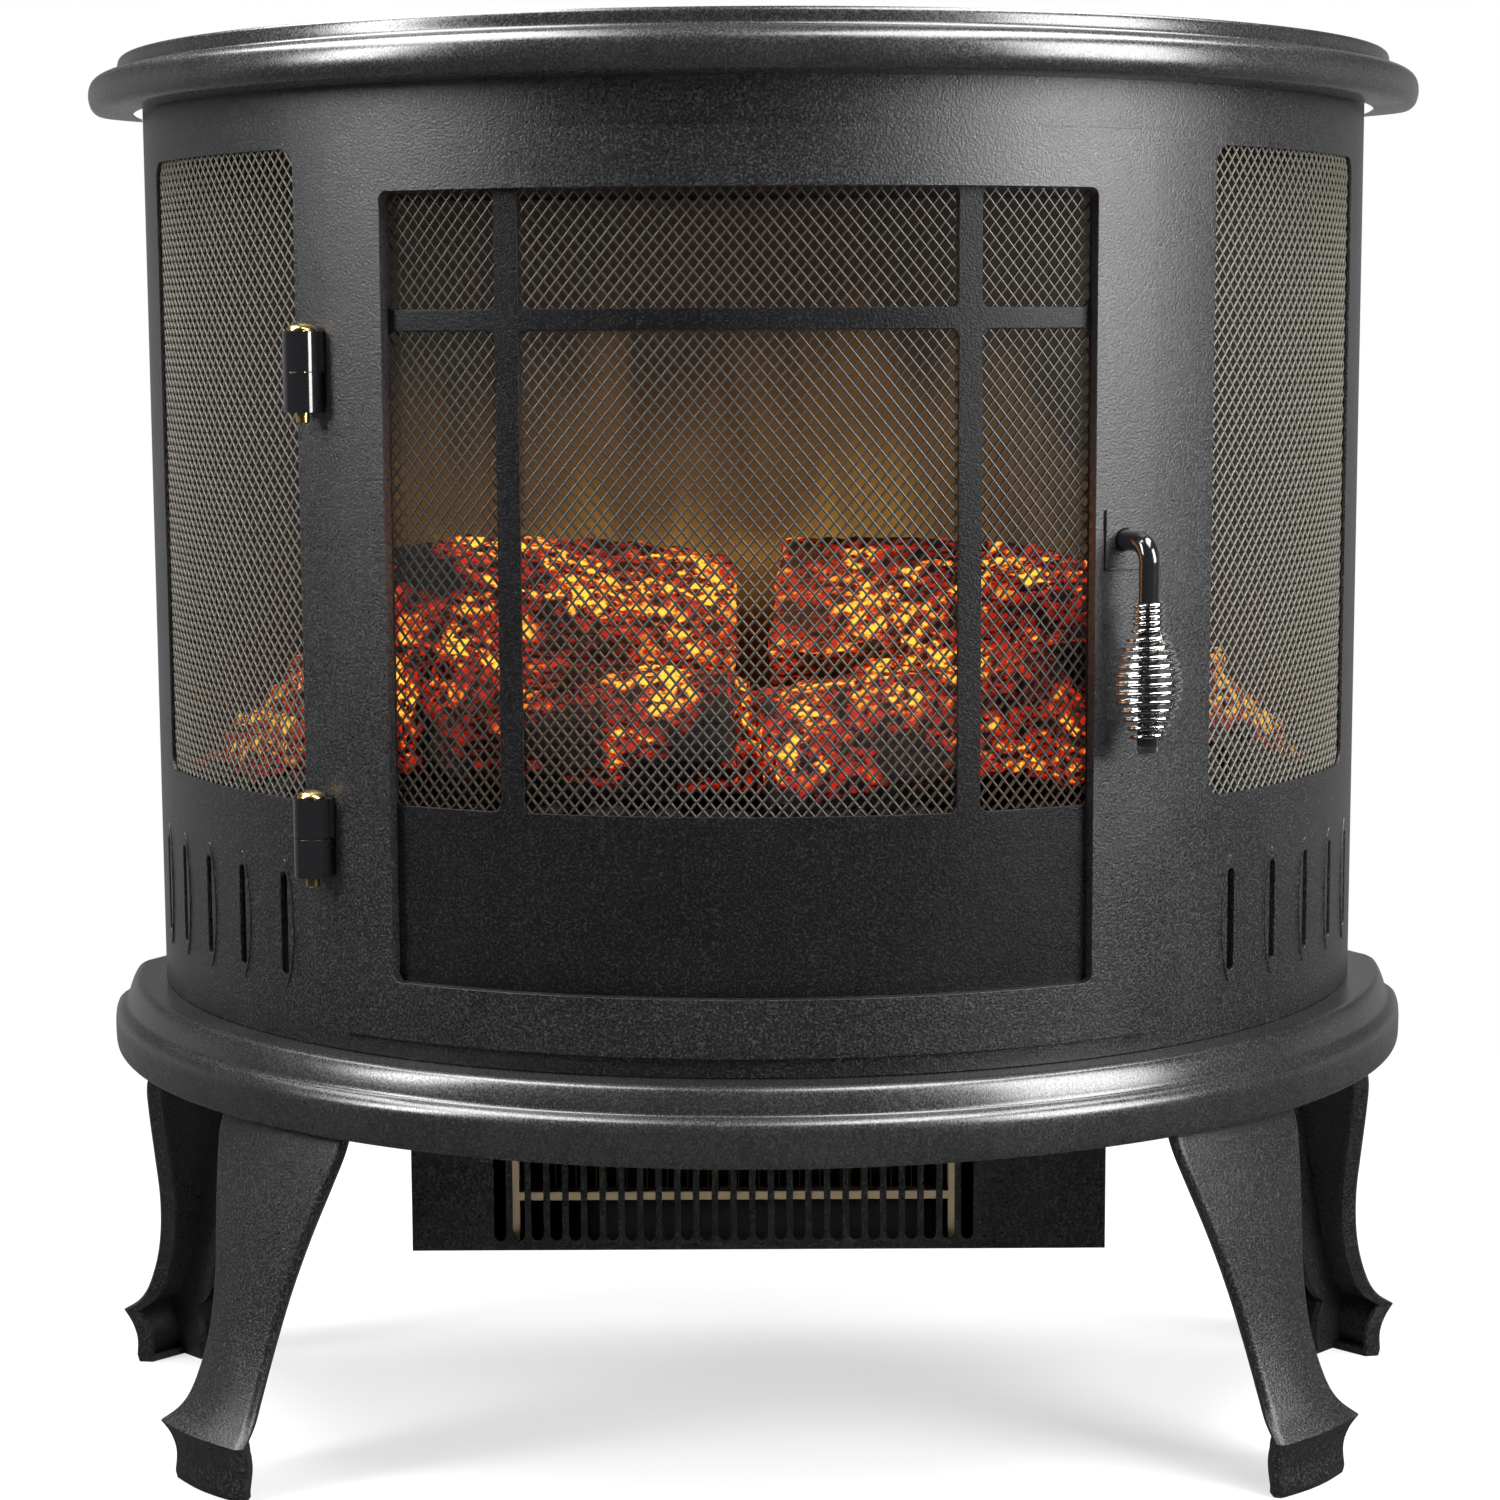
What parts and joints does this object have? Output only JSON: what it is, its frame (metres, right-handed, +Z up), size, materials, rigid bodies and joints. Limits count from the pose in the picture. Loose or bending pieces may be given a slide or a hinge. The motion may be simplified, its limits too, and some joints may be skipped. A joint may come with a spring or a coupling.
{
  "type": "electric fireplace stove",
  "caption": "Half-round electric fireplace stove on cabriole legs with a hinged mesh door, coil-grip handle, log set and a fan heater under the base.",
  "frame": {"origin": "on the floor, under the middle of the stove's plan", "axes": "+Z up, -Y out of the door, +X to the right as seen from the front"},
  "size_m": [0.6312, 0.305, 0.6286],
  "materials": {
    "satin_black": "satin black enamel on pressed steel",
    "charcoal_powder": "matte charcoal powder coat with a fine texture",
    "panel_black": "matte black paint",
    "mesh_taupe": "grey-beige coated expanded mesh",
    "gloss_black": "gloss black enamel",
    "chrome": "bright plated wire",
    "brass": "polished",
    "bare_steel": "plain zinc-plated steel",
    "dark_steel": "blackened steel",
    "mica": "pressed mica board",
    "ember": "moulded ember bed lit from below",
    "charred_log": "moulded logs with glowing cracks",
    "frosted_screen": "frosted flame screen",
    "switch_black": "moulded black plastic",
    "board_white": "white circuit board"
  },
  "bodies": {
    "stove": {"top_plate": "satin_black", "base_plate": "satin_black", "front_shell": "charcoal_powder", "back_panel": "charcoal_powder", "side_mesh_left": "mesh_taupe", "side_mesh_right": "mesh_taupe", "inlet_bush": "switch_black", "body_leaf_lower": "gloss_black", "body_leaf_upper": "gloss_black", "hinge_pin_lower": "brass", "hinge_pin_upper": "brass", "magnet_catch": "switch_black", "leg_front_left": "charcoal_powder", "leg_front_right": "charcoal_powder", "leg_rear_left": "charcoal_powder", "leg_rear_right": "charcoal_powder", "heater_box": "charcoal_powder", "heater_grille": "charcoal_powder", "element_frame": "mica", "heating_wire": "brass", "blower_motor": "dark_steel", "control_panel": "panel_black", "switch_block": "switch_black", "dimmer_body": "dark_steel", "firebox_wall": "panel_black", "flame_screen": "frosted_screen", "ember_bed": "ember", "log_set": "charred_log", "light_tray": "bare_steel", "spindle_motor": "dark_steel", "lamp_board": "board_white"},
    "door": {"door_frame": "charcoal_powder", "door_panel": "panel_black", "door_mesh": "mesh_taupe", "door_leaf_lower": "gloss_black", "door_leaf_upper": "gloss_black", "latch_plate": "charcoal_powder", "catch_keeper": "bare_steel"},
    "handle": {"handle_rod": "gloss_black", "handle_coil": "chrome", "handle_tip": "chrome", "latch_tongue": "dark_steel", "latch_nut": "bare_steel"},
    "power_switch": {"rocker_power": "switch_black"},
    "low_heat_switch": {"rocker_low_heat": "switch_black"},
    "high_heat_switch": {"rocker_high_heat": "switch_black"},
    "dimmer": {"dimmer_knob": "switch_black"},
    "blower": {"blower_drum": "dark_steel"},
    "flame_reflector": {"flame_spindle": "bare_steel"}
  },
  "joints": [
    {"name": "door_swing", "type": "hinge", "parent": "stove", "child": "door", "pos_m": [-0.19187, -0.07248, 0.38], "axis": [0, 0, -1], "range_deg": [0, 110]},
    {"name": "handle_turn", "type": "hinge", "parent": "door", "child": "handle", "pos_m": [0.15418, -0.09094, 0.413], "axis": [0.5005, -0.8657, 0], "range_deg": [0, 90]},
    {"name": "power_press", "type": "hinge", "parent": "stove", "child": "power_switch", "pos_m": [-0.075, -0.0865, 0.2433], "axis": [-1, 0, 0], "range_deg": [0, 18]},
    {"name": "low_heat_press", "type": "hinge", "parent": "stove", "child": "low_heat_switch", "pos_m": [-0.041, -0.0865, 0.2433], "axis": [-1, 0, 0], "range_deg": [0, 18]},
    {"name": "high_heat_press", "type": "hinge", "parent": "stove", "child": "high_heat_switch", "pos_m": [-0.007, -0.0865, 0.2433], "axis": [-1, 0, 0], "range_deg": [0, 18]},
    {"name": "dimmer_turn", "type": "hinge", "parent": "stove", "child": "dimmer", "pos_m": [0.065, -0.095, 0.2433], "axis": [0, -1, 0], "range_deg": [0, 270]},
    {"name": "blower_spin", "type": "hinge", "parent": "stove", "child": "blower", "pos_m": [0.0207, 0.072, 0.1185], "axis": [1, 0, 0], "continuous": true},
    {"name": "flame_spin", "type": "hinge", "parent": "stove", "child": "flame_reflector", "pos_m": [0, 0.0893, 0.3249], "axis": [1, 0, 0], "continuous": true}
  ]
}
